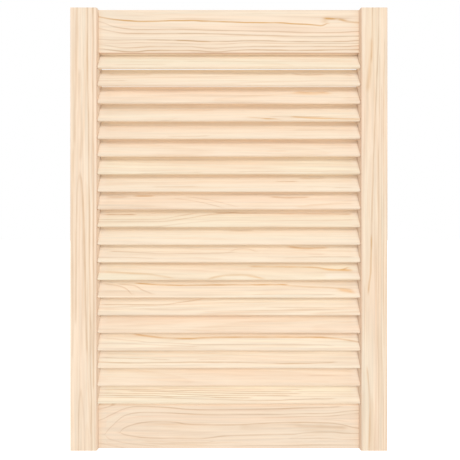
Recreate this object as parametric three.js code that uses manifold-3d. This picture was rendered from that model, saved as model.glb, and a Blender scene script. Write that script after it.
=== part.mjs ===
// A fully louvred softwood cabinet door: two stiles, two set-back rails doweled between them, and a
// column of fixed slats seated in slanted blind mortises. Millimetres, +Z up, front towards -Y, with
// the origin at the centre of the bottom edge.
import * as THREE from "three";
import { mergeVertices } from "three/addons/utils/BufferGeometryUtils.js";
import Module from "manifold-3d";

// The leaf
const DOOR_HEIGHT = 690;
const DOOR_WIDTH = 494;

// Stiles
const STILE_WIDTH = 42;
const STILE_THICKNESS = 21;
const STILE_ROUND_WIDTH = 1.5; // how far the rounded inner edge reaches over the stile's face
const STILE_ARRIS = 0.6;

// Rails
const RAIL_HEIGHT = 68;
const RAIL_THICKNESS = 10;
const RAIL_ARRIS = 0.5;
const RAIL_RELIEF_GAP = 0.3; // between the top slat and the bevel that lets it past the top rail

// Slats
const SLAT_THICKNESS = 5;
const SLAT_ANGLE = THREE.MathUtils.degToRad(63); // above the horizontal, lower edge to the front
const SLAT_FRONT_RECESS = 1.5; // from the stiles' front faces to the slats' lower edges
const SLAT_BACK_RECESS = 0.35; // from the slats' upper edges to the stiles' back faces
const SLAT_PITCH = 27.6; // changed a little where the slats don't fill the opening evenly
const SLAT_SILL_GAP = 4; // from the bottom rail to the lowest slat
const SLAT_HEAD_SHOW = 25.6; // how far the top slat reaches below the top rail

// Mortises in the stiles
const MORTISE_DEPTH = 9;
const MORTISE_GAP = 0.3; // round each slat and past its end

// Dowels
const DOWEL_DIAMETER = 6;
const DOWEL_LENGTH = 50;
const DOWEL_SPACING = 36;
const DOWEL_CHAMFER = 0.8;
const DOWEL_FLUTE_DEPTH = 0.3;
const DOWEL_FLUTES = 12;
const DOWEL_GAP = 0.3; // round each dowel and past its end

// How finely round forms are cut
const NOSE_STEPS = 5;
const ROUND_STEPS = 4;
const HOLE_STEPS = 10;
const OVERRUN = 2; // how far a cutter stands out of what it cuts
const MERGE_TOLERANCE = 1e-4; // vertices closer than this are one

const openingWidth = DOOR_WIDTH - 2 * STILE_WIDTH;
const railRecess = (STILE_THICKNESS - RAIL_THICKNESS) / 2;

// The slats fill the stiles' thickness but for their recesses, and that sets their width.
const slatDepth = STILE_THICKNESS - SLAT_FRONT_RECESS - SLAT_BACK_RECESS;
const slatWidth = SLAT_THICKNESS + (slatDepth - SLAT_THICKNESS) / Math.cos(SLAT_ANGLE);
const slatRise = SLAT_THICKNESS + (slatWidth - SLAT_THICKNESS) * Math.sin(SLAT_ANGLE);
const slatLength = openingWidth + 2 * (MORTISE_DEPTH - MORTISE_GAP);
const slatTilt = SLAT_ANGLE - Math.PI / 2;
const slatSetback = (SLAT_FRONT_RECESS - SLAT_BACK_RECESS) / 2; // of a slat's centre line

// The foot is a slat's lower edge.
const lowestFoot = RAIL_HEIGHT + SLAT_SILL_GAP;
const highestFoot = DOOR_HEIGHT - RAIL_HEIGHT - SLAT_HEAD_SHOW;
const slatSpan = highestFoot - lowestFoot;
const slatCount = Math.round(slatSpan / SLAT_PITCH) + 1;
const slatPitch = slatSpan / (slatCount - 1);

const pine = (color) =>
  new THREE.MeshStandardMaterial({ color, roughness: 0.55, metalness: 0 });
const stilePine = pine(0xf5dcc1);
const railPine = pine(0xf5dec4);
const slatPine = pine(0xfbe3c7);
const dowelBeech = new THREE.MeshStandardMaterial({
  color: 0xd9b48a,
  roughness: 0.7,
  metalness: 0,
});

const wasm = await Module();
wasm.setup();

// A closed three.js geometry as a solid for boolean cuts.
function solidOf(geometry) {
  const bare = geometry.clone();
  bare.deleteAttribute("normal");
  bare.deleteAttribute("uv");
  const merged = mergeVertices(bare, MERGE_TOLERANCE);
  return new wasm.Manifold(
    new wasm.Mesh({
      numProp: 3,
      vertProperties: merged.attributes.position.array,
      triVerts: new Uint32Array(merged.index.array),
    }),
  );
}

// A cut solid as a three.js geometry again, with crisp facets.
function geometryOf(solid) {
  const mesh = solid.getMesh();
  const indexed = new THREE.BufferGeometry()
    .setAttribute("position", new THREE.BufferAttribute(mesh.vertProperties, 3))
    .setIndex(new THREE.BufferAttribute(mesh.triVerts, 1));
  const geometry = indexed.toNonIndexed();
  geometry.computeVertexNormals();
  return geometry;
}

function cut(geometry, cutters) {
  const left = cutters.reduce(
    (solid, cutter) => solid.subtract(solidOf(cutter)),
    solidOf(geometry),
  );
  return geometryOf(left);
}

// A profile drawn in (y, z) and run along X, centred on the origin.
function runAlongX(profile, length, steps = 1) {
  const alongX = new THREE.Matrix4().makeBasis(
    new THREE.Vector3(0, 1, 0),
    new THREE.Vector3(0, 0, 1),
    new THREE.Vector3(1, 0, 0),
  );
  return new THREE.ExtrudeGeometry(profile, {
    depth: length,
    bevelEnabled: false,
    curveSegments: steps,
  })
    .translate(0, 0, -length / 2)
    .applyMatrix4(alongX);
}

// A slat's section, upright: flat faces with a full bullnose on both edges.
function bullnosed(width, thickness) {
  const radius = thickness / 2;
  const noseCentre = width / 2 - radius;
  const profile = new THREE.Shape();
  profile.absarc(0, noseCentre, radius, 0, Math.PI);
  profile.absarc(0, -noseCentre, radius, Math.PI, 2 * Math.PI);
  return profile;
}

function circle(radius) {
  return new THREE.Shape().absarc(0, 0, radius, 0, 2 * Math.PI);
}

// A rectangle in (y, z) whose four corners lose a small arris.
function arrised(thickness, height, arris) {
  const y = thickness / 2;
  const z = height / 2;
  return new THREE.Shape([
    new THREE.Vector2(arris - y, -z),
    new THREE.Vector2(y - arris, -z),
    new THREE.Vector2(y, arris - z),
    new THREE.Vector2(y, z - arris),
    new THREE.Vector2(y - arris, z),
    new THREE.Vector2(arris - y, z),
    new THREE.Vector2(-y, z - arris),
    new THREE.Vector2(-y, arris - z),
  ]);
}

// The height of slat number index's centre line, counted from the top.
const slatHeight = (index) => highestFoot + slatRise / 2 - index * slatPitch;

// A slat, leaning and set back as it lies in the leaf, with an allowance all round its section.
function slatGeometry(length, allowance) {
  const profile = bullnosed(slatWidth + 2 * allowance, SLAT_THICKNESS + 2 * allowance);
  return runAlongX(profile, length, NOSE_STEPS)
    .rotateX(slatTilt)
    .translate(0, slatSetback, 0);
}

// The heights of the two dowels in each end of a rail whose centre is at railCentre.
const dowelHeights = (railCentre) => [
  railCentre - DOWEL_SPACING / 2,
  railCentre + DOWEL_SPACING / 2,
];

const railCentres = {
  top: DOOR_HEIGHT - RAIL_HEIGHT / 2,
  bottom: RAIL_HEIGHT / 2,
};

// The right stile's plan: the inner face is at x = 0, and its two edges are rounded over as far back
// as the rails' faces. The outer edges only lose an arris.
function stilePlan() {
  const y = STILE_THICKNESS / 2;
  const plan = new THREE.Shape();
  plan.moveTo(STILE_WIDTH, STILE_ARRIS - y);
  plan.lineTo(STILE_WIDTH, y - STILE_ARRIS);
  plan.lineTo(STILE_WIDTH - STILE_ARRIS, y);
  plan.lineTo(STILE_ROUND_WIDTH, y);
  plan.absellipse(
    STILE_ROUND_WIDTH,
    y - railRecess,
    STILE_ROUND_WIDTH,
    railRecess,
    Math.PI / 2,
    Math.PI,
  );
  plan.absellipse(
    STILE_ROUND_WIDTH,
    railRecess - y,
    STILE_ROUND_WIDTH,
    railRecess,
    Math.PI,
    1.5 * Math.PI,
  );
  plan.lineTo(STILE_WIDTH - STILE_ARRIS, -y);
  return plan;
}

// A slanted blind mortise in the right stile, a little larger than the slat that it holds.
const mortise = (height) =>
  slatGeometry(MORTISE_DEPTH + OVERRUN, MORTISE_GAP).translate(
    (MORTISE_DEPTH - OVERRUN) / 2,
    0,
    height,
  );

// A dowel hole centred on the joint at x = 0, half in the stile and half in the rail.
function dowelHole(height) {
  const radius = DOWEL_DIAMETER / 2 + DOWEL_GAP;
  return runAlongX(circle(radius), DOWEL_LENGTH + 2 * DOWEL_GAP, HOLE_STEPS)
    .translate(0, 0, height);
}

function stileGeometry() {
  const blank = new THREE.ExtrudeGeometry(stilePlan(), {
    depth: DOOR_HEIGHT,
    bevelEnabled: false,
    curveSegments: ROUND_STEPS,
  });
  const mortises = Array.from({ length: slatCount }, (_, index) =>
    mortise(slatHeight(index)),
  );
  const holes = Object.values(railCentres).flatMap(dowelHeights).map(dowelHole);
  return cut(blank, [...mortises, ...holes]);
}

// What the top slat needs cleared from the rail above it: all that lies behind a plane parallel to
// the slat's front face. It is placed from the rail's own centre.
function slatRelief(railCentre) {
  const front = -SLAT_THICKNESS / 2 - RAIL_RELIEF_GAP;
  const reach = slatWidth + RAIL_HEIGHT;
  return new THREE.BoxGeometry(openingWidth + 2 * OVERRUN, slatWidth, reach)
    .translate(0, front + slatWidth / 2, 0)
    .rotateX(slatTilt)
    .translate(0, slatSetback, slatHeight(0) - railCentre);
}

function railGeometry(railCentre, reliefs) {
  const profile = arrised(RAIL_THICKNESS, RAIL_HEIGHT, RAIL_ARRIS);
  const holes = [-1, 1].flatMap((side) =>
    dowelHeights(0).map((height) =>
      dowelHole(height).translate((side * openingWidth) / 2, 0, 0),
    ),
  );
  return cut(runAlongX(profile, openingWidth), [...holes, ...reliefs]);
}

// A fluted dowel with chamfered ends, along X.
function dowelGeometry() {
  const radius = DOWEL_DIAMETER / 2;
  const points = [];
  for (let flute = 0; flute < DOWEL_FLUTES; flute += 1) {
    const angle = (2 * Math.PI * flute) / DOWEL_FLUTES;
    const step = Math.PI / DOWEL_FLUTES;
    const groove = radius - DOWEL_FLUTE_DEPTH;
    points.push(
      new THREE.Vector2(radius * Math.cos(angle), radius * Math.sin(angle)),
      new THREE.Vector2(groove * Math.cos(angle + step), groove * Math.sin(angle + step)),
    );
  }
  return new THREE.ExtrudeGeometry(new THREE.Shape(points), {
    depth: DOWEL_LENGTH - 2 * DOWEL_CHAMFER,
    bevelEnabled: true,
    bevelThickness: DOWEL_CHAMFER,
    bevelSize: DOWEL_CHAMFER,
    bevelOffset: -DOWEL_CHAMFER,
    bevelSegments: 1,
  })
    .translate(0, 0, DOWEL_CHAMFER - DOWEL_LENGTH / 2)
    .rotateY(Math.PI / 2);
}

const door = new THREE.Group();

function place(name, geometry, material, x, z) {
  const mesh = new THREE.Mesh(geometry, material);
  mesh.name = name;
  mesh.position.set(x, 0, z);
  door.add(mesh);
  return mesh;
}

const stile = stileGeometry();
place("stile_right", stile, stilePine, openingWidth / 2, 0);
place("stile_left", stile, stilePine, -openingWidth / 2, 0).scale.x = -1;

const topRail = railGeometry(railCentres.top, [slatRelief(railCentres.top)]);
place("top_rail", topRail, railPine, 0, railCentres.top);
const bottomRail = railGeometry(railCentres.bottom, []);
place("bottom_rail", bottomRail, railPine, 0, railCentres.bottom);

const slat = slatGeometry(slatLength, 0);
for (let index = 0; index < slatCount; index += 1) {
  const name = "slat_" + String(index + 1).padStart(2, "0");
  place(name, slat, slatPine, 0, slatHeight(index));
}

const dowel = dowelGeometry();
for (const [rail, centre] of Object.entries(railCentres)) {
  for (const [side, sign] of [["left", -1], ["right", 1]]) {
    dowelHeights(centre).forEach((height, index) => {
      const name = `dowel_${rail}_${side}_${index + 1}`;
      place(name, dowel, dowelBeech, (sign * openingWidth) / 2, height);
    });
  }
}

export default door;
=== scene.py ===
"""A louvred pine cabinet door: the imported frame, dressed in sanded bare pine."""
import math
from typing import NamedTuple

import bmesh
import bpy
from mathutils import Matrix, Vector


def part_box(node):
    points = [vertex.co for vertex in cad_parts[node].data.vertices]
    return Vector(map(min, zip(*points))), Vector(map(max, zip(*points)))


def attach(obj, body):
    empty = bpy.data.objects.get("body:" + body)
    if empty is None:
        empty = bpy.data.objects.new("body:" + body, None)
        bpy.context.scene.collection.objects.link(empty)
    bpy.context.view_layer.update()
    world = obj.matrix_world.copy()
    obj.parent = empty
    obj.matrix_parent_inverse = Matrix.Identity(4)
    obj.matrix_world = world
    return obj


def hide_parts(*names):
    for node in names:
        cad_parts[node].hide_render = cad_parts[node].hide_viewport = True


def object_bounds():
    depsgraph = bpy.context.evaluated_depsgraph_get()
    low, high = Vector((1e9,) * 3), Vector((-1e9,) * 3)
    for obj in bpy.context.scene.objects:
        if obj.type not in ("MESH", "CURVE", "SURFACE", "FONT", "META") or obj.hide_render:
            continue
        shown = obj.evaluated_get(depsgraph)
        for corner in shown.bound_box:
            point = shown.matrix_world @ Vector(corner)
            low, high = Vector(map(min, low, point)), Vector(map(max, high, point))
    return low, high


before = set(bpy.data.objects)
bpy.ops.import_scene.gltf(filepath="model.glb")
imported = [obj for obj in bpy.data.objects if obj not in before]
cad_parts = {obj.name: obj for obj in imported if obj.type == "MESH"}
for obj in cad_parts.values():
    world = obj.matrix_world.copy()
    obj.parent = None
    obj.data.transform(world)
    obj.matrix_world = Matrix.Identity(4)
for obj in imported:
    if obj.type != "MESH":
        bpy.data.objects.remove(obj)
cad_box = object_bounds()
low, high = cad_box
MM = 0.001

# The photograph, in pixels, and the plane of the stiles' front faces in it
PHOTO_SIDE = 460
PIXEL_MIDDLE = 0.5  # a pixel's number is the place of its edge
DOOR_LEFT_PX, DOOR_RIGHT_PX = 70.6, 387.1
DOOR_TOP_PX, DOOR_BOTTOM_PX = 7.2, 451.2
CENTRE_PX = Vector(((DOOR_LEFT_PX + DOOR_RIGHT_PX) / 2, (DOOR_TOP_PX + DOOR_BOTTOM_PX) / 2))
CAMERA_DISTANCE = 515 * MM
SENSOR = 36  # the width of the camera's sensor, in millimetres
PIXEL_ACROSS = (high.x - low.x) / (DOOR_RIGHT_PX - DOOR_LEFT_PX)
PIXEL_UP = (high.z - low.z) / (DOOR_BOTTOM_PX - DOOR_TOP_PX)
OUTLINE_DEPTH = 0.6 * MM  # the eased edges' back lines are what the outline shows
PIXEL = (PIXEL_ACROSS + PIXEL_UP) / 2 * CAMERA_DISTANCE / (CAMERA_DISTANCE + OUTLINE_DEPTH)

# Sizes of the pieces, and the angles and distances that their edges are found by
SLAT_LEAN = math.radians(63)
SLAT_NOSE = 2.5 * MM
ARRIS = 0.35 * MM
ARRIS_SEGMENTS = 2
ARRIS_ANGLE = math.radians(40)
MERGE_DISTANCE = 0.002 * MM
FLAT_ANGLE = math.radians(1)
CRISP_ANGLE = math.radians(30)
RELIEF_REACH = 0.4 * MM  # how far from the top slat's face the rail's relief may lie
RELIEF_CLOSE = 0.45 * MM  # how far it moves, square to that face


def place_of(px, py):
    """The point on the stiles' front plane that a place in the photograph, in pixels, shows."""
    middle = (low + high) / 2
    x = middle.x + (px - CENTRE_PX.x) * PIXEL
    return Vector((x, low.y, middle.z - (py - CENTRE_PX.y) * PIXEL))


EYE = place_of(PHOTO_SIDE / 2, PHOTO_SIDE / 2) - Vector((0, CAMERA_DISTANCE, 0))


def srgb(red, green, blue):
    """A colour as it is seen on a screen, from 0 to 255, as Blender's linear colour."""
    def linear(value):
        value /= 255
        return value / 12.92 if value <= 0.04045 else ((value + 0.055) / 1.055) ** 2.4
    return (linear(red), linear(green), linear(blue), 1)


def make_camera():
    """A level camera straight in front of the photograph's middle."""
    data = bpy.data.cameras.new("camera")
    data.sensor_width = SENSOR
    data.lens = SENSOR * CAMERA_DISTANCE / (PHOTO_SIDE * PIXEL)
    camera = bpy.data.objects.new("camera", data)
    camera.location = EYE
    camera.rotation_euler = (math.pi / 2, 0, 0)
    bpy.context.scene.collection.objects.link(camera)
    bpy.context.scene.camera = camera


make_camera()


# Node trees

NOISE_MEAN = 0.5


class Tree:
    """A short way to add and join the nodes of one material or group."""

    def __init__(self, tree):
        self.tree = tree

    def add(self, kind, inputs=None, **settings):
        made = self.tree.nodes.new(kind)
        for name, value in settings.items():
            setattr(made, name, value)
        for name, value in (inputs or {}).items():
            self.feed(made.inputs[name], value)
        return made

    def feed(self, socket, value):
        if isinstance(value, bpy.types.NodeSocket):
            self.tree.links.new(value, socket)
        else:
            socket.default_value = value

    def math(self, operation, first, second=0.0, third=0.0, clamp=False):
        made = self.add("ShaderNodeMath", operation=operation, use_clamp=clamp)
        for socket, value in zip(made.inputs, (first, second, third)):
            self.feed(socket, value)
        return made.outputs[0]

    def vector(self, operation, first, second):
        made = self.add("ShaderNodeVectorMath", operation=operation)
        self.feed(made.inputs[0], first)
        self.feed(made.inputs[1], second)
        return made.outputs[0]

    def scaled(self, vector, factor):
        made = self.add("ShaderNodeVectorMath", {"Scale": factor}, operation="SCALE")
        self.feed(made.inputs[0], vector)
        return made.outputs[0]

    def split(self, vector):
        return self.add("ShaderNodeSeparateXYZ", {"Vector": vector}).outputs

    def joined(self, x, y, z):
        return self.add("ShaderNodeCombineXYZ", {"X": x, "Y": y, "Z": z}).outputs[0]

    def noise(self, vector, cells, seed, detail=2.0):
        """Noise from 0 to 1, of so many cells per millimetre along X, Y and Z."""
        made = self.add(
            "ShaderNodeTexNoise",
            {
                "Vector": self.vector("MULTIPLY", vector, cells),
                "W": seed,
                "Scale": 1.0,
                "Detail": detail,
            },
            noise_dimensions="4D",
        )
        return made.outputs["Fac"]

    def about_zero(self, noise):
        """Noise from -0.5 to 0.5."""
        return self.math("SUBTRACT", noise, NOISE_MEAN)

    def ramp(self, value, low_end, high_end, low_value=0.0, high_value=1.0):
        made = self.add(
            "ShaderNodeMapRange",
            {
                "Value": value,
                "From Min": low_end,
                "From Max": high_end,
                "To Min": low_value,
                "To Max": high_value,
            },
            interpolation_type="SMOOTHSTEP",
        )
        return made.outputs["Result"]

    def mix(self, share, first, second):
        made = self.add("ShaderNodeMix", data_type="RGBA")
        factor, colours = made.inputs[0], [s for s in made.inputs if s.type == "RGBA"]
        self.feed(factor, share)
        self.feed(colours[0], first)
        self.feed(colours[1], second)
        return next(socket for socket in made.outputs if socket.type == "RGBA")

    def group(self, tree, inputs):
        made = self.add("ShaderNodeGroup", node_tree=tree)
        for name, value in inputs.items():
            self.feed(made.inputs[name], value)
        return made.outputs


FLOAT, VECTOR = "NodeSocketFloat", "NodeSocketVector"


def new_group(name, inputs, outputs):
    """An empty node group: its tree, what it is given and what it is to be fed."""
    tree = bpy.data.node_groups.new(name, "ShaderNodeTree")
    for title, kind in inputs.items():
        tree.interface.new_socket(title, in_out="INPUT", socket_type=kind)
    for title in outputs:
        tree.interface.new_socket(title, in_out="OUTPUT", socket_type=FLOAT)
    nodes = Tree(tree)
    given = nodes.add("NodeGroupInput").outputs
    taken = nodes.add("NodeGroupOutput").inputs
    return nodes, given, taken


# Growth rings. Cells are those of noise, per millimetre along, across and into a board

LONG_SWAY_CELLS = (0.004, 0.014, 0.014)
SHORT_SWAY_CELLS = (0.016, 0.06, 0.06)
SHORT_SWAY_SHARE = 0.3
RING_NOISE_CELLS = 0.6  # for each ring
RING_NOISE_SHIFT = 1.6  # in rings
LATE_WOOD_RISE = (0.35, 0.88)  # between these shares of a ring
LATE_WOOD_FALL = (0.9, 1.0)
WEAKEST_RING = 0.25


def growth_ring_group():
    """How far into the growth rings a point of a board lies, counted in rings from the pith. X runs
    along the grain, Y across the face and Z into it, in millimetres."""
    nodes, given, taken = new_group(
        "growth_rings",
        {
            "Board": VECTOR,
            "Ring Width": FLOAT,
            "Pith Across": FLOAT,
            "Pith Depth": FLOAT,
            "Pith Slope": FLOAT,
            "Sway": FLOAT,
            "Seed": FLOAT,
        },
        ["Count"],
    )
    board, seed = given["Board"], given["Seed"]
    x, y, z = nodes.split(board)
    long_sway = nodes.about_zero(nodes.noise(board, LONG_SWAY_CELLS, seed, detail=1.0))
    short_sway = nodes.about_zero(nodes.noise(board, SHORT_SWAY_CELLS, seed))
    sway = nodes.math("MULTIPLY_ADD", short_sway, SHORT_SWAY_SHARE, long_sway)
    sway = nodes.math("MULTIPLY", sway, given["Sway"])
    depth = nodes.math("MULTIPLY_ADD", x, given["Pith Slope"], given["Pith Depth"])
    across = nodes.math("ADD", nodes.math("SUBTRACT", y, given["Pith Across"]), sway)
    inward = nodes.math("ADD", nodes.math("ADD", z, depth), sway)
    squares = [nodes.math("POWER", part, 2.0) for part in (across, inward)]
    radius = nodes.math("SQRT", nodes.math("ADD", *squares))
    nodes.feed(taken["Count"], nodes.math("DIVIDE", radius, given["Ring Width"]))
    return nodes.tree


def late_wood_group():
    """The dark late wood of each ring, which comes on slowly and ends sharply."""
    nodes, given, taken = new_group(
        "late_wood", {"Count": FLOAT, "Seed": FLOAT}, ["Late Wood"]
    )
    uneven = nodes.add(
        "ShaderNodeTexNoise",
        {
            "W": nodes.math("MULTIPLY_ADD", given["Count"], RING_NOISE_CELLS, given["Seed"]),
            "Scale": 1.0,
            "Detail": 1.0,
        },
        noise_dimensions="1D",
    ).outputs["Fac"]
    count = nodes.math("MULTIPLY_ADD", uneven, RING_NOISE_SHIFT, given["Count"])
    share = nodes.math("FRACT", count)
    rise = nodes.ramp(share, *LATE_WOOD_RISE)
    fall = nodes.ramp(share, *LATE_WOOD_FALL, 1.0, 0.0)
    strength = nodes.add(
        "ShaderNodeTexWhiteNoise",
        {"W": nodes.math("ADD", nodes.math("FLOOR", count), given["Seed"])},
        noise_dimensions="1D",
    ).outputs["Value"]
    strength = nodes.math("MULTIPLY_ADD", strength, 1.0 - WEAKEST_RING, WEAKEST_RING)
    late = nodes.math("MULTIPLY", nodes.math("MULTIPLY", rise, fall), strength)
    nodes.feed(taken["Late Wood"], late)
    return nodes.tree


# Fibres, and dark lines of grain or of painted shade

FIBRE_CELLS = (0.03, 1.1, 1.1)
STREAK_CELLS = (0.006, 0.42, 0.42)
BAND_CELLS = (0.002, 0.13, 0.13)
PATCH_CELLS = (0.005, 0.022, 0.022)
LINE_WANDER_CELLS = (0.05, 0.1, 0.1)
LINE_WANDER = 1.0  # in millimetres
LINE_PATCH_CELLS = (0.025, 0.025, 0.025)
LINE_PATCH_ENDS = (0.3, 0.7)
FAINTEST_PATCH = 0.55


def fibre_group():
    """Fine fibres along X, wider streaks, and slow patches of colour."""
    nodes, given, taken = new_group(
        "fibres", {"Flow": VECTOR, "Seed": FLOAT}, ["Fibre", "Streak", "Band", "Patch"]
    )
    flow, seed = given["Flow"], given["Seed"]
    nodes.feed(taken["Fibre"], nodes.noise(flow, FIBRE_CELLS, seed))
    nodes.feed(taken["Streak"], nodes.noise(flow, STREAK_CELLS, seed))
    nodes.feed(taken["Band"], nodes.noise(flow, BAND_CELLS, seed, detail=1.0))
    nodes.feed(taken["Patch"], nodes.noise(flow, PATCH_CELLS, seed, detail=1.0))
    return nodes.tree


def dark_line_group():
    """One dark line, of grain or of painted shade: how dark it makes a point that lies Offset above
    it, in millimetres.
    """
    nodes, given, taken = new_group(
        "dark_line",
        {
            "Board": VECTOR,
            "Offset": FLOAT,
            "Above": FLOAT,
            "Below": FLOAT,
            "Strength": FLOAT,
            "Start": FLOAT,
            "End": FLOAT,
            "Fade": FLOAT,
            "Seed": FLOAT,
        },
        ["Darkness"],
    )
    board, seed, fade = given["Board"], given["Seed"], given["Fade"]
    x = nodes.split(board)[0]
    wander = nodes.about_zero(nodes.noise(board, LINE_WANDER_CELLS, seed))
    offset = nodes.math("MULTIPLY_ADD", wander, LINE_WANDER, given["Offset"])
    above = nodes.math("DIVIDE", nodes.math("MAXIMUM", offset, 0.0), given["Above"])
    below = nodes.math("DIVIDE", nodes.math("MINIMUM", offset, 0.0), given["Below"])
    away = nodes.math("SUBTRACT", above, below)
    shape = nodes.ramp(away, 0.0, 1.0, 1.0, 0.0)
    since_start = nodes.math("DIVIDE", nodes.math("SUBTRACT", x, given["Start"]), fade)
    until_end = nodes.math("DIVIDE", nodes.math("SUBTRACT", given["End"], x), fade)
    reach = nodes.ramp(nodes.math("MINIMUM", since_start, until_end), 0.0, 1.0)
    patch = nodes.noise(board, LINE_PATCH_CELLS, seed, detail=1.0)
    patch = nodes.ramp(patch, *LINE_PATCH_ENDS, FAINTEST_PATCH, 1.0)
    darkness = nodes.math("MULTIPLY", nodes.math("MULTIPLY", shape, reach), patch)
    nodes.feed(taken["Darkness"], nodes.math("MULTIPLY", darkness, given["Strength"]))
    return nodes.tree


growth_rings = growth_ring_group()
late_wood = late_wood_group()
fibres = fibre_group()
dark_line = dark_line_group()


# Boards

# A curve's own box, which runs from 0 to 1 both ways, is so much larger than its board
CURVE_LENGTH_SHARE = 1.3
CURVE_HEIGHT_SHARE = 2.0
CURVE_MIDDLE = 0.5


class Place(NamedTuple):
    """Where a point lies in a board, as sockets in millimetres from the board's centre, and the
    same three as one vector."""
    along: bpy.types.NodeSocket
    across: bpy.types.NodeSocket
    depth: bpy.types.NodeSocket
    vector: bpy.types.NodeSocket


class Board:
    """A piece of pine as a board, with its place in the frame and its sizes in millimetres. along
    is the axis of its grain, lean the rise of its face from the horizontal and nose the radius of
    its lower edge."""

    def __init__(self, node, along="X", lean=math.pi / 2, nose=0.0):
        self.node, self.along = node, along
        self.low, self.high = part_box(node)
        self.centre = (self.low + self.high) / 2
        self.out = Vector((0, -math.sin(lean), math.cos(lean)))
        edge = Vector((self.centre.x, self.low.y + nose, self.low.z + nose))
        self.on_face = edge + self.out * nose
        x, y, z = (extent / MM for extent in self.high - self.low)
        self.length, self.width = (x, z) if along == "X" else (z, x)
        self.thickness = y

    def seen(self, px, py):
        """Where the board shows at the middle of a pixel of the photograph, along and across it."""
        ray = place_of(px + PIXEL_MIDDLE, py + PIXEL_MIDDLE) - EYE
        reach = (self.on_face - EYE).dot(self.out) / ray.dot(self.out)
        point = (EYE + ray * reach - self.centre) / MM
        return (point.x, point.z) if self.along == "X" else (point.z, point.x)

    def place(self, nodes):
        point = nodes.add("ShaderNodeTexCoord").outputs["Object"]
        point = nodes.vector("SUBTRACT", point, self.centre)
        point = nodes.vector("DIVIDE", point, (MM, MM, MM))
        x, y, z = nodes.split(point)
        along, across = (x, z) if self.along == "X" else (z, x)
        return Place(along, across, y, nodes.joined(along, across, y))


def slat_board(node):
    return Board(node, lean=SLAT_LEAN, nose=SLAT_NOSE)


def curve_through(nodes, board, along, pixels):
    """The height across the board of a smooth line through pixels of the photograph."""
    length = board.length * CURVE_LENGTH_SHARE
    height = board.width * CURVE_HEIGHT_SHARE
    points = sorted(board.seen(*pixel) for pixel in pixels)
    places = [(x / length + CURVE_MIDDLE, y / height + CURVE_MIDDLE) for x, y in points]
    made = nodes.add("ShaderNodeFloatCurve")
    nodes.feed(made.inputs["Value"], nodes.math("MULTIPLY_ADD", along, 1 / length, CURVE_MIDDLE))
    curve = made.mapping.curves[0]
    made.mapping.extend = "HORIZONTAL"
    curve.points[0].location = places[0]
    curve.points[1].location = places[-1]
    for place in places[1:-1]:
        curve.points.new(*place)
    for point in curve.points:
        point.handle_type = "AUTO_CLAMPED"
    made.mapping.update()
    return nodes.math("MULTIPLY_ADD", made.outputs["Value"], height, -height * CURVE_MIDDLE)


# Wood

EARLY_WOOD = srgb(251, 235, 212)
ROSY_WOOD = srgb(250, 225, 199)
STRAW_WOOD = srgb(250, 237, 210)
LATE_WOOD = srgb(228, 188, 146)
# The line colour below is that of grain lines, and also of the painted shade lines in some slats'
# gap bands.
LINE_WOOD = srgb(207, 166, 122)
RESIN = srgb(218, 169, 108)
AMBER = srgb(240, 186, 120)
# The pale colour below is mostly painted light, laid over the slats' shaded gaps and ends and the
# stiles' inner walls.
PALE_WOOD = srgb(254, 240, 222)
# The joint colour below is the dark of the joints, and also painted shade on edges and in corners.
JOINT_AND_SHADE_BROWN = srgb(200, 142, 108)
BEECH = srgb(217, 180, 138)

# What the strengths and reaches of the lines, grain and painted shade alike, are multiplied by, and
# how far their ends fade
LINE_STRENGTH = 1.8
LINE_REACH = 1.7
LINE_FADE = 14  # in millimetres

# How rings and fibres follow the stacks and rings of a board
RINGS_A_LEVEL = 2.0
LEVEL_DRIFT_ACROSS = 0.3  # how much the fibres also change straight across a board with stacks
LEVEL_DRIFT_INWARD = 0.4  # and into it
RING_DRIFT = 0.5  # the share of their change that is straight across a board with rings

# How much the noise of patches and bands changes the tone, and the values between which streaks
# and fibres come on in theirs. End grain comes on as a face turns to look along the grain
PATCH_ROSINESS = 1.2
BAND_ROSINESS = 3.0
STREAK_ENDS = (0.5, 0.78)
FIBRE_ENDS = (0.4, 0.75)
FIBRE_DARKNESS = 0.14
END_GRAIN_ENDS = (0.7, 0.95)
END_GRAIN_DARKNESS = 0.45
SCRATCH_CELLS = (0.009, 0.36, 0.36)

# The surface
EARLY_ROUGHNESS, LATE_ROUGHNESS = 0.62, 0.5
GRAIN_RELIEF = 0.05 * MM
GRAIN_BUMP = 0.15
FIBRE_HEIGHT = 0.3
PINE_SHINE = 0.3
BEECH_ROUGHNESS = 0.7


class TintOrPaintedLight(NamedTuple):
    """A colour that comes on from inner to outer, in millimetres: along, rightwards or across a
    board from its centre, or behind its front. Over fade millimetres behind the front it changes to
    its share left, which is above 1 where the colour is stronger there. It may be the wood's own
    tone, a dark joint line, painted shade or painted light."""
    direction: str
    inner: float
    outer: float
    most: float
    colour: tuple = JOINT_AND_SHADE_BROWN
    fade: float = 0.0
    left: float = 1.0


class Line(NamedTuple):
    """A level of a stack that follows one of the board's grain lines, by its number from 0."""
    number: int


def marks_of_lines(nodes, board, place, lines, seed):
    """The height of each line, of grain or of painted shade, across the board, and how much each
    wood of theirs marks it.
    """
    heights, marks = [], {}
    for number, (strength, above, below, pixels, *wood) in enumerate(lines):
        height = curve_through(nodes, board, place.along, pixels)
        heights.append(height)
        ends = sorted(board.seen(*pixel)[0] for pixel in pixels)
        darkness = nodes.group(dark_line, {
            "Board": place.vector,
            "Offset": nodes.math("SUBTRACT", place.across, height),
            "Above": above * LINE_REACH,
            "Below": below * LINE_REACH,
            "Strength": strength * LINE_STRENGTH,
            "Start": ends[0] - LINE_FADE / 2,
            "End": ends[-1] + LINE_FADE / 2,
            "Fade": LINE_FADE,
            "Seed": seed + number,
        })["Darkness"]
        wood = wood[0] if wood else LINE_WOOD
        marks[wood] = nodes.math("ADD", darkness, marks.get(wood, 0.0))
    return heights, marks


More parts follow.
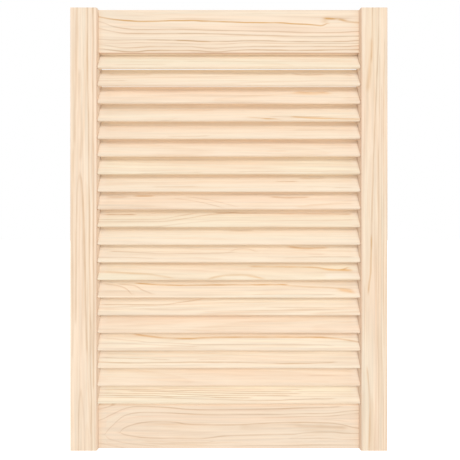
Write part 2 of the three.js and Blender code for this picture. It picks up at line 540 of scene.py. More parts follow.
def flow_between(nodes, across, levels):
    """How far a point lies through a stack of levels, each one further from the first."""
    total = 0.0
    for near, far in zip(levels, levels[1:]):
        gap = nodes.math("SUBTRACT", far, near)
        share = nodes.math("DIVIDE", nodes.math("SUBTRACT", across, near), gap, clamp=True)
        total = nodes.math("ADD", share, total)
    return total


def flow_by_stacks(nodes, board, place, stacks, heights):
    """The rings' count and the place across the fibres' noise, where both flow between levels."""
    count = 0.0
    for stack in stacks:
        levels = [
            heights[level.number] if isinstance(level, Line) else board.seen(CENTRE_PX.x, level)[1]
            for level in stack
        ]
        count = nodes.math("ADD", flow_between(nodes, place.across, levels), count)
    spacing = board.width / sum(len(stack) - 1 for stack in stacks)
    drift = nodes.math("MULTIPLY", place.across, LEVEL_DRIFT_ACROSS)
    drift = nodes.math("MULTIPLY_ADD", place.depth, LEVEL_DRIFT_INWARD, drift)
    flow_across = nodes.math("MULTIPLY_ADD", count, spacing, drift)
    return nodes.math("MULTIPLY", count, RINGS_A_LEVEL), flow_across


def flow_by_rings(nodes, place, rings, seed):
    """The rings' count and the place across the fibres' noise, where both follow growth rings."""
    count = nodes.group(growth_rings, {"Board": place.vector, "Seed": seed, **rings})["Count"]
    flow_across = nodes.math("MULTIPLY", count, rings["Ring Width"])
    drift = nodes.math("MULTIPLY", place.across, RING_DRIFT)
    return count, nodes.math("MULTIPLY_ADD", flow_across, 1.0 - RING_DRIFT, drift)


# Mixes in each tint in turn: the wood's own tone, a dark joint line, painted shade or painted light.
def with_tints_and_painted_light(nodes, board, place, tints_and_painted_light, colour):
    behind = nodes.math("ADD", place.depth, board.thickness / 2)
    places = {
        "rightwards": place.along,
        "along": nodes.math("ABSOLUTE", place.along),
        "across": place.across,
        "behind": behind,
    }
    for tint in tints_and_painted_light:
        share = nodes.ramp(places[tint.direction], tint.inner, tint.outer, 0.0, tint.most)
        if tint.fade:
            faded = nodes.ramp(behind, 0.0, tint.fade, 1.0, tint.left)
            share = nodes.math("MULTIPLY", share, faded)
        colour = nodes.mix(share, colour, tint.colour)
    return colour


def with_end_grain(nodes, board, colour):
    """The colour, darker on the faces that cut the grain."""
    normal = nodes.split(nodes.add("ShaderNodeNewGeometry").outputs["Normal"])
    facing = nodes.math("ABSOLUTE", normal["X" if board.along == "X" else "Z"])
    share = nodes.ramp(facing, *END_GRAIN_ENDS, 0.0, END_GRAIN_DARKNESS)
    return nodes.mix(share, colour, LATE_WOOD)


def pine(board, seed, tone=0.5, straw=0.0, contrast=0.4, streaks=0.3, bands=0.4, rings=None,
         lines=(), stacks=(), tints_and_painted_light=(), shade=1.0, scratches=0.2):
    """Sanded bare pine. tone is how rosy it is and straw how yellow. contrast is how dark its late
    wood is, streaks how dark its streaks are, bands how much the tone changes across the grain,
    shade its lightness and scratches how uneven that is. rings are growth_rings inputs, lines are
    (strength, above, below, pixels, wood if not LINE_WOOD) in millimetres and pixels, and stacks are
    lists of Lines or pixel heights that the fibres flow between."""
    material = bpy.data.materials.new(board.node + "_pine")
    material.use_nodes = True
    nodes = Tree(material.node_tree)
    place = board.place(nodes)

    heights, marks = marks_of_lines(nodes, board, place, lines, seed)
    if stacks:
        count, flow_across = flow_by_stacks(nodes, board, place, stacks, heights)
    else:
        count, flow_across = flow_by_rings(nodes, place, rings, seed)
    flow = nodes.joined(place.along, flow_across, place.depth)
    texture = nodes.group(fibres, {"Flow": flow, "Seed": seed})
    late = nodes.group(late_wood, {"Count": count, "Seed": seed})["Late Wood"]

    rosy = nodes.math("MULTIPLY_ADD", texture["Patch"], PATCH_ROSINESS, tone - PATCH_ROSINESS / 2)
    banding = nodes.about_zero(texture["Band"])
    rosy = nodes.math("MULTIPLY_ADD", banding, bands * BAND_ROSINESS, rosy, clamp=True)
    colour = nodes.mix(straw, EARLY_WOOD, STRAW_WOOD)
    colour = nodes.mix(rosy, colour, ROSY_WOOD)

    dark = nodes.math("MULTIPLY", late, contrast)
    dark = nodes.math("ADD", dark, nodes.ramp(texture["Streak"], *STREAK_ENDS, 0.0, streaks))
    fibre_dark = nodes.ramp(texture["Fibre"], *FIBRE_ENDS, 0.0, FIBRE_DARKNESS)
    dark = nodes.math("ADD", dark, fibre_dark, clamp=True)
    colour = nodes.mix(dark, colour, LATE_WOOD)
    for wood, share in marks.items():
        share = nodes.math("MINIMUM", share, 1.0)
        colour = nodes.mix(share, colour, wood)
        dark = nodes.math("MAXIMUM", dark, share)

    colour = with_tints_and_painted_light(nodes, board, place, tints_and_painted_light, colour)
    colour = with_end_grain(nodes, board, colour)
    uneven = nodes.about_zero(nodes.noise(place.vector, SCRATCH_CELLS, seed, detail=0.0))
    lightness = nodes.math("MULTIPLY_ADD", uneven, scratches * shade, shade)

    shader = material.node_tree.nodes["Principled BSDF"]
    nodes.feed(shader.inputs["Base Color"], nodes.scaled(colour, lightness))
    roughness = nodes.ramp(dark, 0.0, 1.0, EARLY_ROUGHNESS, LATE_ROUGHNESS)
    nodes.feed(shader.inputs["Roughness"], roughness)
    height = nodes.math("MULTIPLY_ADD", texture["Fibre"], FIBRE_HEIGHT, dark)
    bump = nodes.add(
        "ShaderNodeBump", {"Height": height, "Strength": GRAIN_BUMP, "Distance": GRAIN_RELIEF}
    )
    nodes.feed(shader.inputs["Normal"], bump.outputs[0])
    shader.inputs["Specular IOR Level"].default_value = PINE_SHINE
    return material


def rings_of(width, across, depth, slope, sway):
    """What growth_rings needs, in millimetres. slope is the pith's change of depth along it."""
    return {
        "Ring Width": width,
        "Pith Across": across,
        "Pith Depth": depth,
        "Pith Slope": slope,
        "Sway": sway,
    }


# Making a piece from its CAD node

def select_only(piece):
    bpy.ops.object.select_all(action="DESELECT")
    piece.select_set(True)
    bpy.context.view_layer.objects.active = piece


def seat_relief(piece, slat):
    """In edit mode, bring the bevel under the top rail onto the top slat, as it is fitted tight.
    The edge below slides back and the edge behind slides down."""
    mesh = bmesh.from_edit_mesh(piece.data)
    on_bevel = [v for v in mesh.verts if 0 < (v.co - slat.on_face).dot(slat.out) < RELIEF_REACH]
    lower = min(v.co.z for v in on_bevel)
    for below, slide in (
        (True, Vector((0, RELIEF_CLOSE / abs(slat.out.y), 0))),
        (False, Vector((0, 0, -RELIEF_CLOSE / abs(slat.out.z)))),
    ):
        bpy.ops.mesh.select_all(action="DESELECT")
        for vertex in on_bevel:
            vertex.select_set((vertex.co.z < lower + RELIEF_REACH) == below)
        bpy.ops.transform.translate(value=slide)


def dress(node, material, seated_on=None):
    """Replace a CAD piece by a finished copy: merged, its edges eased by a small arris, and smooth
    where it is round. seated_on is the slat that its relief is brought onto."""
    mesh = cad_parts[node].data.copy()
    piece = bpy.data.objects.new(node + "_pine", mesh)
    bpy.context.scene.collection.objects.link(piece)
    mesh.materials.clear()
    mesh.materials.append(material)
    select_only(piece)
    bpy.ops.object.mode_set(mode="EDIT")
    bpy.ops.mesh.select_all(action="SELECT")
    bpy.ops.mesh.remove_doubles(threshold=MERGE_DISTANCE)
    bpy.ops.mesh.dissolve_limited(angle_limit=FLAT_ANGLE)
    if seated_on:
        seat_relief(piece, slat_board(seated_on))
    bpy.ops.object.mode_set(mode="OBJECT")
    arris = piece.modifiers.new("arris", "BEVEL")
    arris.width = ARRIS
    arris.segments = ARRIS_SEGMENTS
    arris.limit_method = "ANGLE"
    arris.angle_limit = ARRIS_ANGLE
    arris.use_clamp_overlap = True
    bpy.ops.object.modifier_apply(modifier="arris")
    bpy.ops.object.shade_smooth_by_angle(angle=CRISP_ANGLE)
    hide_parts(node)
    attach(piece, "root")


# Grain lines, each (strength, reach above and below in millimetres, pixels of the photograph), with
# its wood at the end where that isn't LINE_WOOD. On a stile, above is towards the right. A few of
# the slats' lines lie in the gap band under the slat above and darken it; some of them are painted
# shade.
# By a later count, half or more of these pixels were traced by a program along dark ridges in the
# photograph. They weren't picked by eye. Strengths were then tuned, and some pixels moved, by
# measured differences. Which ridges make a line was chosen

LEFT_STILE_LINES = [
    (0.33, 1.2, 1.2, [(86.9, 0), (87, 78), (88.2, 126), (88.3, 174), (88.9, 206), (89.1, 262),
                      (89.7, 320), (89.8, 366), (90.2, 382), (91, 398), (91.1, 420), (91.7, 460)]),
    (0.31, 1.3, 1.3, [(92.3, 0), (92.7, 40), (92, 62), (92.5, 110), (92.8, 174), (93, 240),
                      (93.2, 318), (93, 366), (92.9, 388)]),
    (0.36, 1.0, 2.2, [(80.3, 174), (82, 189), (82.9, 206), (83.6, 222), (84.1, 245), (84.8, 270),
                      (85.2, 298), (85.8, 318), (86.2, 334), (86.8, 352)]),
    (0.12, 1.2, 1.6, [(86.8, 352), (87, 366), (87.8, 382), (88.5, 400), (89.1, 414), (90.3, 434)]),
    (0.20, 2.0, 1.2, [(78.6, 174), (76.6, 189), (75.9, 214), (75.2, 238), (75, 270), (74.9, 302),
                      (74.8, 322)]),
    (0.17, 2.4, 2.4, [(79.1, 70), (78.8, 94), (79.6, 110), (81, 128), (80.9, 142), (79.8, 160)]),
    (0.14, 2.0, 2.0, [(76.8, 0), (75.4, 30), (75, 62), (75, 94), (74.1, 112), (73.9, 142)]),
    (0.22, 1.2, 1.2, [(72.6, 150), (72.2, 200), (71.8, 230), (72, 290), (72.2, 340), (72, 356)]),
    (0.10, 1.2, 1.2, [(83, 60), (84, 80), (84.2, 110), (84.5, 130)]),
    (0.10, 1.0, 2.0, [(80.6, 390), (82.5, 405), (84.2, 430), (84.5, 470)]),
    (0.17, 1.6, 1.2, [(80.3, 390), (78.8, 400), (78.1, 414), (77.8, 430), (77.5, 470)]),
]
RIGHT_STILE_LINES = [
    (0.36, 1.2, 1.2, [(372, -10), (371.7, 30), (371.2, 46), (370.9, 60)]),
    (0.27, 3.0, 3.0, [(371, 40), (370.3, 56), (369.4, 66), (368.9, 74), (368, 81),
                      (367.2, 90)], RESIN),
    (0.34, 1.1, 1.1, [(378.4, 0), (377.9, 46), (377, 62), (376.2, 78), (375.8, 94), (374.9, 110),
                      (374.2, 126), (373.7, 142), (373, 158), (372.6, 174), (372.1, 190),
                      (371.5, 206), (371.2, 230), (371, 250)]),
    (0.42, 0.9, 1.8, [(371.2, 236), (370.7, 262), (370.4, 272), (369.8, 277), (368.9, 283),
                      (368.2, 292)], RESIN),
    (0.24, 0.9, 0.9, [(379, 54), (378.9, 126), (378.1, 158), (378, 270), (377.6, 310),
                      (377.6, 350), (378, 390), (378.1, 470)]),
    (0.18, 0.6, 0.6, [(381.1, 86), (381, 200), (381, 270), (380.9, 350), (381.2, 380), (381, 470)]),
    (0.26, 0.7, 0.7, [(383.8, 40), (383.1, 110), (383.1, 200), (383, 290), (383.1, 345)]),
    (0.30, 1.0, 1.6, [(366.9, 368), (367.6, 376), (368, 381), (368.8, 387), (369.2, 393),
                      (369.5, 400), (369.6, 414), (369.4, 430), (368.8, 450)], RESIN),
    (0.14, 0.9, 0.9, [(382.9, 395), (383.1, 470)]),
    (0.18, 0.9, 0.9, [(364, 285), (364, 312), (363.7, 340)]),
]

TOP_RAIL_LINES = [
    (0.80, 0.8, 1.3, [(85, 13.5), (102, 16.8), (114, 18.8), (126, 20), (138, 20.7), (150, 20.8),
                      (170, 20), (190, 19.9), (204, 20.5), (222, 21), (246, 21.8), (282, 22.3),
                      (294, 23.1), (306, 23.7), (316, 24.6), (320, 25), (323, 24.4),
                      (326.5, 22.8)], RESIN),
    (0.34, 3.4, 4.4, [(322, 20.6), (324.5, 20.4), (327, 20)], RESIN),
    (0.80, 1.4, 1.8, [(324, 17.6), (329, 17.9), (334, 18.2)], RESIN),
    (0.34, 1.6, 2.0, [(336, 18.3), (341, 18.8), (346, 19.6)], RESIN),
    (0.30, 1.5, 1.5, [(339, 19.4), (345, 20.7), (353, 21.8), (362, 22.5), (372, 23.2)], RESIN),
    (0.38, 0.7, 1.1, [(85, 17), (102, 21.9), (114, 26.2), (126, 28.1), (140, 29), (180, 28.7),
                      (210, 29.5), (246, 30.3), (282, 31.2), (306, 32.1), (335, 31.9), (354, 31),
                      (372, 30.4)]),
    (0.42, 0.8, 1.0, [(85, 24.5), (102, 28.6), (114, 31.3), (126, 32.9), (150, 33.1), (186, 32.9),
                      (210, 33.2), (234, 34.1), (270, 35), (294, 35.8), (325, 36.1), (354, 35.7),
                      (372, 35.3)]),
    (0.50, 0.7, 0.9, [(85, 37.5), (114, 39.6), (138, 39.4), (174, 39.7), (190, 40.2), (204, 41),
                      (226, 41), (246, 40.1), (266, 40.2), (285, 40.9), (320, 41), (342, 40.9),
                      (354, 40.3), (372, 39.8)]),
    (0.42, 0.9, 1.1, [(176, 39.8), (192, 40.3), (208, 41)]),
    (0.35, 0.8, 1.0, [(85, 42.5), (102, 44.2), (126, 47.2), (150, 46.1), (186, 46), (210, 47.6),
                      (234, 46.7), (252, 45.8), (342, 46), (354, 45.4), (372, 45)]),
    (0.54, 0.8, 1.0, [(85, 47), (102, 48.5), (114, 50), (134, 51.3), (150, 49.9), (186, 50),
                      (198, 50.4), (216, 51.4), (234, 50), (252, 49.3), (276, 49.6), (300, 49.9),
                      (342, 49.2), (372, 48.8)]),
    (0.30, 0.6, 0.7, [(85, 42), (114, 42.9), (138, 42.3), (174, 42.8), (204, 43.6), (224, 43.5),
                      (246, 42.3), (294, 43), (354, 42.9), (372, 42.5)]),
    (0.30, 0.9, 0.9, [(332, 17.4), (350, 17.7)]),
]
TOP_RAIL_STACKS = [[53.5, Line(10), Line(9), Line(7), Line(6), Line(5), Line(0), 8]]

BOTTOM_RAIL_LINES = [
    (0.38, 0.7, 1.2, [(119.6, 431.9), (122, 428.5), (131.6, 424.3), (150, 421.1), (162, 420.8),
                      (174, 421.6), (186, 423.5), (204, 424.1), (234, 424.2), (258, 422.9),
                      (276, 422), (300, 421.9), (318, 422.2), (334, 422.9), (345, 424.8),
                      (354, 427.1), (372, 428.3)]),
    (0.33, 1.2, 0.7, [(119.6, 431.9), (122, 433.6), (131.6, 435.8), (150, 437.6), (174, 437.9),
                      (198, 438.4), (210, 437.4), (222, 435.8), (246, 434.9), (276, 434.1),
                      (294, 433.9), (306, 432.3), (330, 431.7), (342, 432.6), (354, 433.1),
                      (372, 433.8)]),
    (0.37, 0.7, 1.0, [(104.4, 434), (108, 429), (113, 424), (118, 419.4), (123, 415.7),
                      (129.4, 413.4), (136, 412.2), (146, 411.9),
                      (162, 412), (186, 413.2), (210, 414.1), (240, 414), (270, 413.9),
                      (300, 413.2), (330, 412.5), (342, 411.2), (354, 409.9), (372, 408.6)]),
    (0.28, 0.7, 1.0, [(85, 422.5), (99, 419.5), (112, 413.4), (126, 407.6), (138, 405.9),
                      (154, 406.1), (174, 407.5), (186, 408.7), (210, 409.2), (246, 408.8),
                      (276, 408.2), (306, 407.2), (330, 406.6), (340, 405.9)]),
    (0.18, 1.3, 0.7, [(104.4, 434), (107, 437.5), (112, 439.8), (131, 443.5), (160, 446.2)]),
    (0.24, 0.8, 0.8, [(85, 441), (99, 442.7), (112, 445.3), (125, 447.5)]),
    (0.34, 0.8, 1.2, [(85, 411.5), (99, 408.6), (112, 404.8), (118, 403)]),
    (0.18, 2.0, 2.6, [(296, 425.2), (318, 426), (334, 426.6), (346, 427)]),
    (0.26, 0.7, 0.9, [(262, 417.4), (282, 416.8), (306, 416), (322, 415.9), (334, 415.2),
                      (346, 413.8), (356, 413.3), (372, 412)]),
    (0.18, 0.6, 0.8, [(232, 446), (248, 445.2), (294, 444.8), (310, 444.4), (345, 444.7),
                      (372, 445)]),
    (0.22, 0.6, 0.8, [(144, 440.7), (174, 441.7), (200, 442.2), (214, 441)]),
    (0.26, 0.6, 0.8, [(288, 437.8), (312, 437.8), (342, 438.7), (356, 439), (372, 439.2)]),
    (0.24, 0.6, 0.8, [(322, 419), (334, 419.6), (346, 420.8)]),
    (0.14, 0.7, 1.0, [(150, 406), (174, 407.5), (186, 408.7), (210, 409.2), (246, 408.8),
                      (276, 408.2), (306, 407.2), (324, 406.7)]),
    (0.13, 1.5, 7.0, [(240, 424.4), (280, 424), (310, 424.6), (345, 426)]),
]
BOTTOM_RAIL_STACKS = [[Line(0), Line(2), Line(3), 403.3], [Line(1), Line(4), 448]]

SLAT_LINES = {
    1: [
        (0.17, 0.7, 0.8, [(185, 60.9), (260, 61), (350, 61)]),
        (0.20, 0.7, 0.8, [(115, 64), (165, 64)]),
    ],
    2: [
        (0.42, 0.9, 1.2, [(293, 73.6), (308, 74.4), (323, 74)]),
        (0.40, 0.8, 1.0, [(344, 74.2), (352, 75)]),
        (0.34, 0.7, 0.8, [(85, 80.2), (125, 80.2)]),
        # These two darken slat 2's gap band under slat 1; the second is painted shade.
        (0.18, 1.4, 1.6, [(215, 73.6), (250, 73.8), (285, 73.6)]),
        (0.24, 1.4, 1.6, [(108, 74), (130, 74.3), (150, 74)]),
    ],
    3: [
        (0.40, 1.6, 1.8, [(296, 91.4), (312, 92), (326, 91.6)], RESIN),
        (0.26, 1.4, 2.6, [(292, 92.4), (312, 93.2), (330, 92.6)], AMBER),
    ],
    4: [
        # Painted shade: it widens slat 4's gap band under slat 3.
        (0.24, 1.6, 1.6, [(85, 109.6), (150, 109.6), (214, 109.4)]),
        (0.26, 1.0, 1.6, [(248, 116.6), (262, 117.6), (279, 118.6)], RESIN),
        (0.34, 1.2, 1.2, [(263, 118), (268, 118.3), (273, 118.3)], RESIN),
        (0.50, 0.8, 1.2, [(292, 116.2), (302, 116.9), (316, 117.6), (334, 118),
                          (362, 118.6)], RESIN),
        (0.26, 1.6, 1.8, [(304, 117.2), (330, 118), (362, 118.7)], AMBER),
        (0.26, 0.7, 0.8, [(270, 116), (288, 115.6), (306, 116), (322, 116.2)]),
        (0.22, 0.7, 0.8, [(160, 119.6), (170, 119.3), (175, 117.4)]),
    ],
    5: [
        (0.32, 0.7, 0.8, [(168, 135.8), (192, 135.9), (208, 135.2)]),
        (0.20, 0.7, 0.8, [(295, 129.5), (335, 129.1)]),
    ],
    6: [
        (0.24, 0.7, 0.8, [(322, 147.5), (352, 147.4)]),
        (0.22, 0.7, 0.8, [(266, 150.4), (284, 150.4)]),
    ],
    7: [
        (0.20, 0.9, 0.9, [(140, 173), (170, 172.3), (200, 171.8)]),
        (0.24, 0.7, 0.8, [(238, 171), (260, 170.9), (310, 171), (352, 171)]),
        (0.20, 0.7, 0.8, [(140, 170.6), (168, 170.1)]),
    ],
    8: [
        (0.20, 0.7, 0.8, [(154, 186.2), (196, 186)]),
        (0.40, 0.7, 0.8, [(276, 180.9), (296, 180.9)]),
        (0.22, 0.7, 0.8, [(334, 187), (352, 187.1)]),
        # This one darkens the top of slat 8 inside its gap band.
        (0.26, 1.2, 1.6, [(300, 177.6), (312, 178), (324, 177.6)]),
    ],
    9: [
        (0.26, 0.8, 0.8, [(176, 198), (196, 201), (222, 207)]),
        (0.26, 0.8, 0.8, [(186, 196), (206, 199), (236, 206)]),
        (0.40, 1.2, 1.6, [(270, 196.4), (290, 197), (308, 196.6)]),
        (0.22, 0.7, 0.8, [(308, 204.4), (330, 203.6), (352, 203)]),
        (0.12, 0.7, 0.8, [(128, 206.1), (168, 206.1)]),
        (0.46, 1.0, 1.2, [(135, 195.4), (144, 195.5), (153, 195.4)], RESIN),
        # This one darkens the top of slat 9 inside its gap band.
        (0.24, 1.6, 1.8, [(108, 196.3), (116, 196.8), (126, 196.4)]),
    ],
    10: [
        (0.34, 0.7, 0.9, [(85, 221), (150, 221.2), (162, 220.9), (176, 219.2), (190, 217.3),
                          (204, 214.8), (236, 211.5)]),
        (0.28, 0.7, 0.9, [(85, 218.9), (120, 219.1), (148, 219), (162, 218.2), (178, 215.5),
                          (196, 212.5)]),
        (0.19, 0.8, 1.0, [(85, 226), (150, 226), (178, 223.5), (192, 221.8), (204, 220.8),
                          (218, 220), (246, 219.7), (316, 219.8), (352, 219.1)]),
        (0.42, 0.9, 1.1, [(215, 212.2), (260, 212.8), (350, 213.6)]),
        # Painted shade at the top of slat 10, in its gap band.
        (0.60, 0.8, 1.0, [(85, 213.9), (134, 214)]),
    ],
    # Slat 11's line darkens its top inside its gap band.
    11: [(0.26, 1.2, 1.6, [(228, 229.8), (240, 230.2), (252, 229.8)])],
    12: [
        (0.50, 1.3, 1.6, [(288, 246.2), (307, 247.8), (326, 247)], RESIN),
        (0.30, 0.7, 0.9, [(110, 250.8), (120, 251.1), (134, 251.8), (148, 252.5), (162, 252.9),
                          (218, 252.7), (234, 251.5)]),
        (0.24, 0.9, 1.0, [(230, 250.6), (242, 248.2), (256, 251)]),
        (0.22, 0.7, 0.8, [(85, 256.9), (134, 257.1), (154, 257.9)]),
        (0.28, 0.7, 0.8, [(284, 257.5), (302, 256.9), (316, 256.3), (352, 256.3)]),
        (0.24, 0.7, 0.8, [(308, 253.6), (324, 253.6)]),
    ],
    13: [
        (0.42, 1.0, 1.8, [(250, 265.6), (301, 266.4), (316, 267), (330, 268.8),
                          (349, 269.4)], RESIN),
        (0.40, 1.4, 1.8, [(325, 268.6), (334, 269.3), (351, 269.6)], AMBER),
        (0.34, 3.6, 3.6, [(325, 275), (362, 275.4)], PALE_WOOD),
        (0.50, 1.2, 1.2, [(341, 269), (344, 268.4), (347, 267.2)], RESIN),
        (0.31, 1.2, 1.8, [(85, 270), (106, 271.1), (120, 272.1), (134, 272.8), (148, 273.5),
                          (162, 275.6), (172, 277.4)], RESIN),
        (0.28, 1.7, 1.2, [(209, 278), (218, 276.1), (232, 274.6), (246, 274.7),
                          (262, 278.4)], RESIN),
        (0.24, 1.0, 1.2, [(246, 275.2), (254, 276.6), (263, 277.8)], AMBER),
    ],
    14: [
        (0.56, 0.8, 1.2, [(136, 282.6), (160, 284.2), (180, 284.7), (210, 284.4),
                          (286, 284)], RESIN),
        (0.30, 1.0, 1.4, [(284, 284.8), (302, 286), (316, 286.7), (330, 287.2), (344, 288.2),
                          (352, 289)], RESIN),
        (0.38, 2.2, 2.4, [(338, 289.2), (346, 290.2), (354, 291.4)], AMBER),
        (0.32, 0.9, 1.2, [(100, 282.8), (114, 284.5), (124, 287.5), (131, 293.5)]),
        (0.32, 0.9, 1.2, [(119, 283.4), (133, 285), (141, 289), (152, 293.4)]),
        (0.24, 0.7, 0.8, [(252, 293.9), (334, 293.9)]),
    ],
    15: [
        (0.36, 0.7, 0.9, [(85, 304.2), (120, 304), (148, 304.3), (164, 304), (181, 301.5),
                          (202, 298.6)]),
        (0.27, 0.7, 0.8, [(85, 308.8), (120, 308.7), (136, 308.3), (168, 308.6)]),
        (0.15, 0.7, 0.8, [(204, 311.2), (218, 310.6), (232, 310.1), (260, 309.9), (288, 309.7),
                          (316, 309.3), (334, 309.2)]),
        (0.18, 0.7, 0.8, [(266, 306.9), (322, 306.9)]),
    ],
    16: [(0.14, 0.7, 0.8, [(85, 329), (154, 328.9), (210, 330)])],
    17: [
        (0.50, 1.0, 1.4, [(134, 333.6), (147, 335.4), (160, 337), (190, 338), (205, 337.1),
                          (250, 336.6), (319, 336.7), (336, 338), (344, 339), (362, 342)], RESIN),
        (0.21, 0.7, 0.9, [(85, 336.6), (106, 337.6), (120, 339), (134, 340.1), (148, 341.7),
                          (162, 342.1), (176, 342.8), (204, 344.1), (316, 344.1), (332, 345.2)]),
        (0.20, 0.7, 0.8, [(85, 342.6), (120, 342.9), (148, 344.1), (176, 345.2), (196, 345.9)]),
    ],
    18: [
        (0.40, 0.7, 0.9, [(85, 361), (106, 361.8), (134, 362.3), (162, 362.1), (190, 361.7),
                          (218, 361.6), (246, 362), (288, 362.8), (316, 362.5), (334, 361.6)]),
        (0.30, 0.7, 0.8, [(100, 356.8), (120, 357.8), (136, 358.1), (168, 359.1)]),
        (0.22, 0.7, 0.8, [(198, 358.8), (226, 358.7)]),
    ],
    19: [(0.14, 0.7, 0.8, [(308, 375.1), (352, 374.9)])],
    20: [
        (0.42, 0.5, 0.6, [(130, 390.6), (162, 391), (190, 391.9), (218, 392.4), (246, 393),
                          (300, 393.2)]),
        (0.44, 0.5, 0.6, [(85, 392), (120, 392.9), (162, 393.3), (190, 394), (218, 395),
                          (250, 395), (290, 395.3)]),
        (0.42, 0.5, 0.6, [(85, 394.8), (148, 394.9), (176, 396.1), (204, 396.2), (218, 397),
                          (250, 397.3)]),
        (0.32, 0.6, 0.7, [(85, 397), (162, 397.2), (190, 398.1), (218, 399), (250, 399.8),
                          (276, 400), (292, 399), (334, 398)]),
        (0.38, 0.5, 0.6, [(90, 389), (140, 389.2), (180, 389.8), (215, 390.2), (250, 390.7),
                          (290, 390.8)]),
        (0.26, 0.5, 0.6, [(160, 387.6), (200, 388), (240, 388.5), (300, 389)]),
        (0.18, 0.5, 0.6, [(85, 401), (120, 401.4), (160, 402), (200, 402.6)]),
        (0.18, 0.5, 0.6, [(296, 391), (330, 390.9), (362, 391.1)]),
        (0.18, 0.5, 0.6, [(306, 393.3), (362, 393.6)]),
        (0.18, 0.5, 0.6, [(292, 395.5), (362, 395.8)]),
        (0.18, 0.5, 0.6, [(300, 401.4), (362, 401.8)]),
    ],
}

# How a plain slat looks, and what some of them have instead
PLAIN_SLAT = {"tone": 0.25, "straw": 0.2, "contrast": 0.2, "streaks": 0.28, "scratches": 0.14}
ROSY_SLATS = {3, 5, 6, 9, 16, 19}
STRAW_SLATS = {1, 7, 10, 13, 20}
LINED_SLATS = {10, 15, 17, 18}
FINE_SLATS = {20}
SCRATCHED_SLATS = {3, 9, 14, 15, 17, 18, 20}
SLAT_CHANGES = [
    (ROSY_SLATS, {"tone": 0.64}),
    (STRAW_SLATS, {"straw": 0.8}),
    (LINED_SLATS, {"contrast": 0.28}),
    (FINE_SLATS, {"contrast": 0.0, "streaks": 0.08}),
    (SCRATCHED_SLATS, {"scratches": 0.24}),
]
SLAT_PITH_REACH = 10  # how far to either side the slats' piths lie, in millimetres
SLAT_PITH_STEP = 2.4  # from slat to slat, in radians of their swing
SLAT_PITH_SLOPE = 0.03
SLAT_SEED = 20.0

# How far the stiles' inner edges lie from the middle of the door, and of a stile, in millimetres
opening_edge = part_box("stile_right")[0].x / MM
stile_edge = (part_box("stile_right")[1].x / MM - opening_edge) / 2


# The boards of the door

def make_stile(side, turn, lines, shade_reach, edge_shade, outer_shade, **look):
    """A stile whose inner edge lies to the right of its middle where turn is 1, and to the left
    where it is -1. Its rounded inner edge gets painted shade, fading behind the front, which comes
    over its face by the reach given with each side; its outer edge gets a fainter painted shade,
    and its inner side wall, behind the front, painted light."""
    def inside(distance):
        return turn * (stile_edge - distance)

    # Painted light on the inner side wall, growing behind the front.
    painted_light_wall = TintOrPaintedLight(
        "across", inner=inside(0.5), outer=inside(0.0), most=0.08, colour=PALE_WOOD,
        fade=8.0, left=6.0,
    )
    # Painted shade on the rounded inner edge, fading behind the front.
    painted_shade_rounding = TintOrPaintedLight(
        "across", inner=inside(shade_reach), outer=inside(0.1), most=edge_shade,
        fade=3.0, left=0.3,
    )
    # Painted shade along the outer edge.
    painted_shade_outer_edge = TintOrPaintedLight("across", inner=-inside(3.0), outer=-inside(0.0), most=outer_shade)
    board = Board("stile_" + side, along="Z")
    material = pine(
        board, contrast=0.2, streaks=0.34, bands=0.6, scratches=0.24, lines=lines,
        rings=rings_of(width=3.4, across=5 * turn, depth=34, slope=0.01, sway=5),
        tints_and_painted_light=[painted_light_wall, painted_shade_rounding, painted_shade_outer_edge], **look,
    )
    dress(board.node, material)


def make_stiles():
    make_stile(
        "left", 1, LEFT_STILE_LINES, shade_reach=2.6, edge_shade=0.32, outer_shade=0.06,
        seed=3.0, tone=0.6, straw=0.0, shade=0.99,
    )
    # The right stile gets stronger painted shade on both edges, as if the light came more from the
    # right.
    make_stile(
        "right", -1, RIGHT_STILE_LINES, shade_reach=3.2, edge_shade=0.5, outer_shade=0.2,
        seed=7.0, tone=0.72, straw=0.4, shade=0.98,
    )


def make_rail(node, left_paling, seated_on=None, **look):
    """A rail with a dark joint line at its ends that is also painted shade in the corners by the
    stiles, painted shade along its lower edge, and paler to its left by left_paling.
    """
    board = Board(node)
    bottom = -board.width / 2
    paling = TintOrPaintedLight(
        "rightwards", inner=-160.0, outer=4.0 - opening_edge, most=left_paling, colour=EARLY_WOOD
    )
    # A dark joint line at the ends, which is also painted shade in the corner by the stile.
    end = TintOrPaintedLight("along", inner=opening_edge - 0.9, outer=opening_edge + 0.1, most=0.5)
    # Painted shade along the front's lower edge.
    painted_shade_lower_edge = TintOrPaintedLight(
        "across", inner=bottom + 1.0, outer=bottom + 0.2, most=0.6, fade=4.0, left=0.0
    )
    material = pine(board, streaks=0.42, bands=0.55, tints_and_painted_light=[paling, end, painted_shade_lower_edge], **look)
    dress(node, material, seated_on)


def make_rails():
    make_rail(
        "top_rail", left_paling=0.42, seated_on="slat_01", lines=TOP_RAIL_LINES,
        stacks=TOP_RAIL_STACKS, seed=11.0, tone=0.5, contrast=0.12, shade=0.99,
    )
    make_rail(
        "bottom_rail", left_paling=0.15, lines=BOTTOM_RAIL_LINES,
        stacks=BOTTOM_RAIL_STACKS, seed=15.0, tone=0.75, contrast=0.0, shade=0.95,
    )


def slat_look(number):
    """What pine takes for a slat's tone and grain."""
    look = dict(PLAIN_SLAT)
    for numbers, change in SLAT_CHANGES:
        if number in numbers:
            look.update(change)
    return look


def slat_rings(number):
    """Growth rings whose pith lies in another place behind each slat."""
    return rings_of(
        width=4.6, across=SLAT_PITH_REACH * math.sin(number * SLAT_PITH_STEP), depth=46,
        slope=SLAT_PITH_SLOPE * math.cos(number), sway=5,
    )


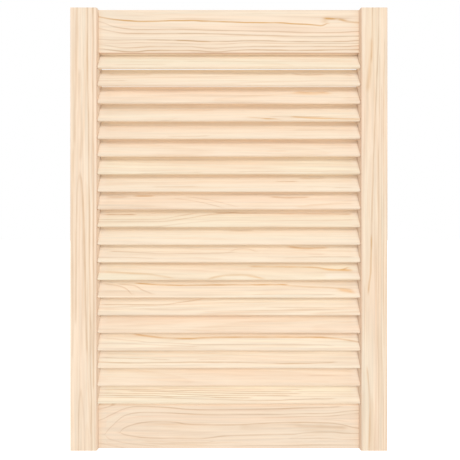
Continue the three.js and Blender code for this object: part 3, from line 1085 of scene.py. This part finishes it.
def make_slats():
    # Painted light: paler behind the front, which lightens the shaded gaps between the slats.
    painted_light_behind = TintOrPaintedLight("behind", inner=8.5, outer=12.0, most=0.3, colour=PALE_WOOD)
    # Painted light: paler towards the ends and behind the front, where the stiles shade the slats.
    corner = TintOrPaintedLight(
        "along", inner=opening_edge - 16.0, outer=opening_edge - 1.0, most=0.12,
        colour=PALE_WOOD, fade=11.0, left=6.0,
    )
    # A dark joint line at the ends, which is also painted shade in the corner by the stile.
    end = TintOrPaintedLight("along", inner=opening_edge - 0.8, outer=opening_edge + 0.4, most=0.4)
    slats = sorted(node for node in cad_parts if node.startswith("slat_"))
    for number, node in enumerate(slats, start=1):
        material = pine(
            slat_board(node), SLAT_SEED + number, rings=slat_rings(number),
            lines=SLAT_LINES.get(number, []), tints_and_painted_light=[painted_light_behind, corner, end], **slat_look(number),
        )
        dress(node, material)


def finish_dowels():
    """The dowels are hidden in the joints, so they keep their CAD shapes."""
    material = bpy.data.materials.new("beech")
    material.use_nodes = True
    shader = material.node_tree.nodes["Principled BSDF"]
    shader.inputs["Base Color"].default_value = BEECH
    shader.inputs["Roughness"].default_value = BEECH_ROUGHNESS
    for node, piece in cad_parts.items():
        if node.startswith("dowel_"):
            piece.data.materials.clear()
            piece.data.materials.append(material)


make_stiles()
make_rails()
make_slats()
finish_dowels()


# Studio

FLOOR_DROP = 150 * MM
FLOOR_SIDE = 30  # in metres
FLOOR_COLOUR = srgb(245, 245, 245)
FLOOR_ROUGHNESS = 0.9
FLOOR_GLOW = 0.6
WHITE = (1, 1, 1, 1)
SKY_SEEN = 1.0
SKY_LIGHT = 0.73


def seen_by(nodes, *rays):
    """1 for the kinds of ray named, such as Is Camera Ray, and 0 for all others."""
    path = nodes.add("ShaderNodeLightPath").outputs
    seen = 0.0
    for ray in rays:
        seen = nodes.math("MAXIMUM", path[ray], seen)
    return seen


def make_floor():
    bpy.ops.object.select_all(action="DESELECT")
    bpy.ops.mesh.primitive_plane_add(size=FLOOR_SIDE, location=(0, 0, low.z - FLOOR_DROP))
    floor = bpy.context.object
    floor.name = "floor"
    material = bpy.data.materials.new("floor")
    material.use_nodes = True
    nodes = Tree(material.node_tree)
    shader = material.node_tree.nodes["Principled BSDF"]
    shader.inputs["Base Color"].default_value = FLOOR_COLOUR
    shader.inputs["Roughness"].default_value = FLOOR_ROUGHNESS
    shader.inputs["Specular IOR Level"].default_value = 0
    shader.inputs["Emission Color"].default_value = WHITE
    seen = seen_by(nodes, "Is Camera Ray", "Is Glossy Ray")
    nodes.feed(shader.inputs["Emission Strength"], nodes.math("MULTIPLY", seen, FLOOR_GLOW))
    floor.data.materials.append(material)


def make_world():
    world = bpy.data.worlds.new("studio")
    world.use_nodes = True
    bpy.context.scene.world = world
    nodes = Tree(world.node_tree)
    background = world.node_tree.nodes["Background"]
    background.inputs["Color"].default_value = WHITE
    seen = seen_by(nodes, "Is Camera Ray", "Is Glossy Ray", "Is Transmission Ray")
    strength = nodes.ramp(seen, 0.0, 1.0, SKY_LIGHT, SKY_SEEN)
    nodes.feed(background.inputs["Strength"], strength)


def make_sun(name, strength, elevation, azimuth, softness):
    """azimuth 0 shines from the front, and 90 from the right. Angles are in degrees."""
    data = bpy.data.lights.new(name, "SUN")
    data.energy = strength
    data.angle = math.radians(softness)
    sun = bpy.data.objects.new(name, data)
    sun.rotation_euler = (math.radians(90 - elevation), 0, math.radians(azimuth))
    bpy.context.scene.collection.objects.link(sun)


make_floor()
make_world()
make_sun("key", strength=0.84, elevation=30, azimuth=12, softness=25)
make_sun("back_fill", strength=0.5, elevation=30, azimuth=180, softness=40)
bpy.context.scene.view_settings.view_transform = "Standard"
